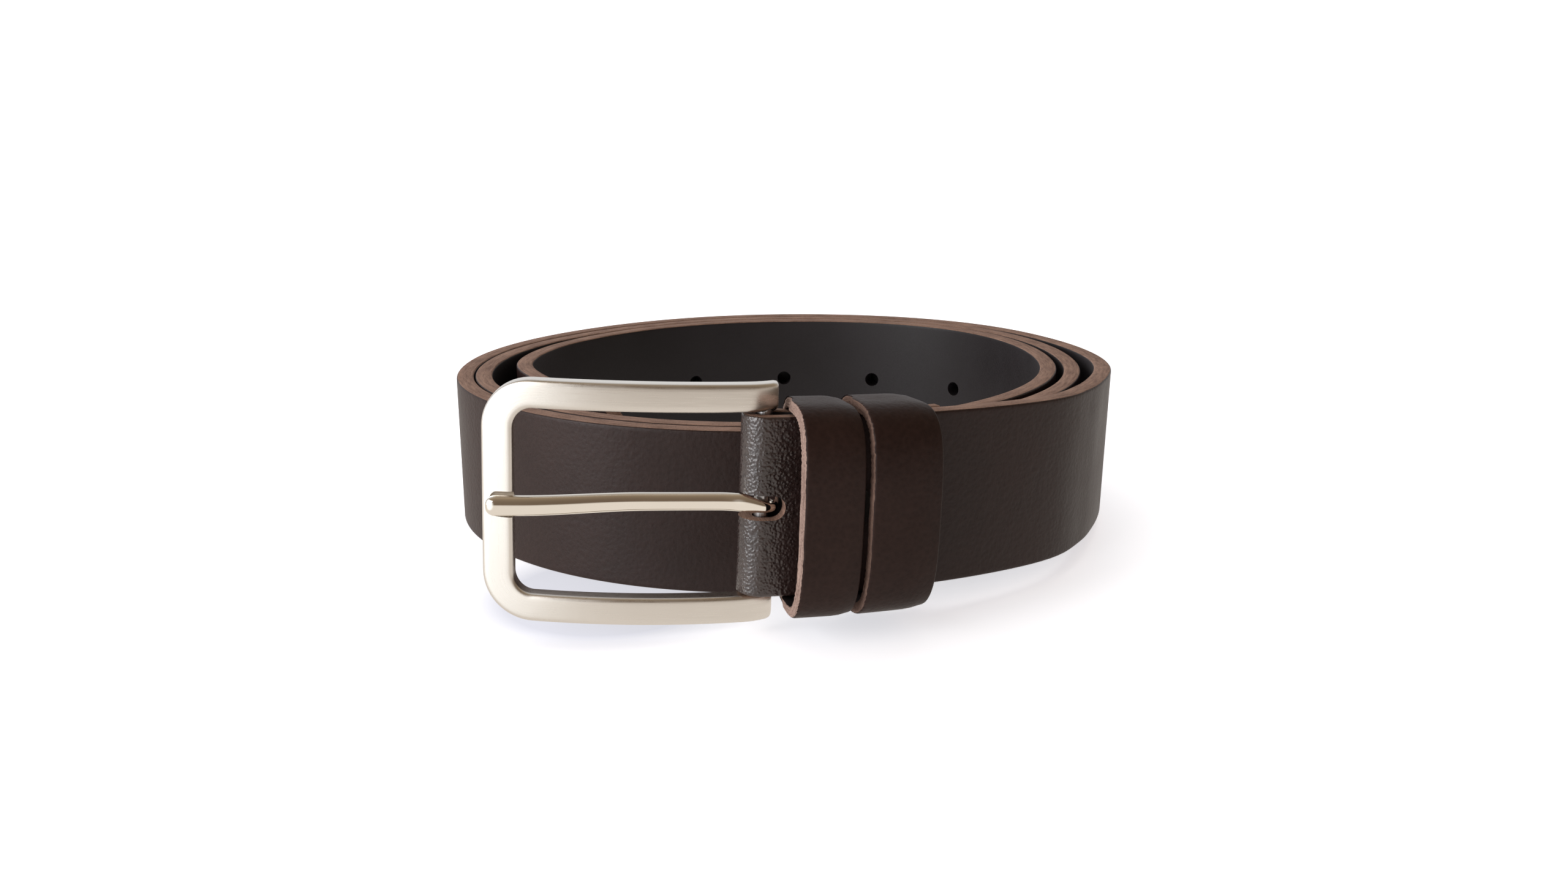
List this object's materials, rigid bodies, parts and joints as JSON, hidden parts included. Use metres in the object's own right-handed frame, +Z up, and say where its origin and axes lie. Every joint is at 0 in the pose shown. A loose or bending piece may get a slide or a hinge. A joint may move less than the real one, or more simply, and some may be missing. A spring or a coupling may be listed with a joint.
{
  "type": "dress belt",
  "caption": "Leather dress belt coiled on its edge, with a pronged frame buckle, two leather keepers and holes at the tip end.",
  "frame": {"origin": "on the floor, under the middle of the whole belt's box", "axes": "+Z up along the strap's width, -Y towards the side with the buckle"},
  "size_m": [0.1624, 0.1855, 0.0509],
  "materials": {
    "strap_leather": "finely pebbled glossy grain, satin flesh side, raw edges",
    "keeper_leather": "smooth satin grain with raw edges",
    "satin_nickel": "satin brushed nickel plate",
    "polished_nickel": "polished nickel plate",
    "steel": "plain steel"
  },
  "bodies": {
    "belt": {"strap": "strap_leather", "keeper_fixed": "keeper_leather", "keeper_fixed_staple_1": "steel", "keeper_fixed_staple_2": "steel", "screw_post_1": "polished_nickel", "screw_post_2": "polished_nickel", "screw_1": "steel", "screw_2": "steel"},
    "buckle": {"buckle_frame": "satin_nickel", "heel_bar": "steel"},
    "tongue": {"prong": "polished_nickel"},
    "sliding_keeper": {"keeper_free": "keeper_leather", "keeper_free_staple_1": "steel", "keeper_free_staple_2": "steel"}
  },
  "joints": [
    {"name": "buckle_swing", "type": "hinge", "parent": "belt", "child": "buckle", "pos_m": [-0.00435, -0.07822, 0.026], "axis": [0.0371, 0.029, 0.9989], "range_deg": [-30, 40]},
    {"name": "prong_swing", "type": "hinge", "parent": "buckle", "child": "tongue", "pos_m": [-0.00435, -0.07822, 0.026], "axis": [0.0371, 0.029, 0.9989], "range_deg": [0, 65]},
    {"name": "keeper_slide", "type": "hinge", "parent": "belt", "child": "sliding_keeper", "pos_m": [-0.03415, 0.05486, 0.02324], "axis": [0.0371, 0.029, 0.9989], "range_deg": [0, 12]}
  ]
}
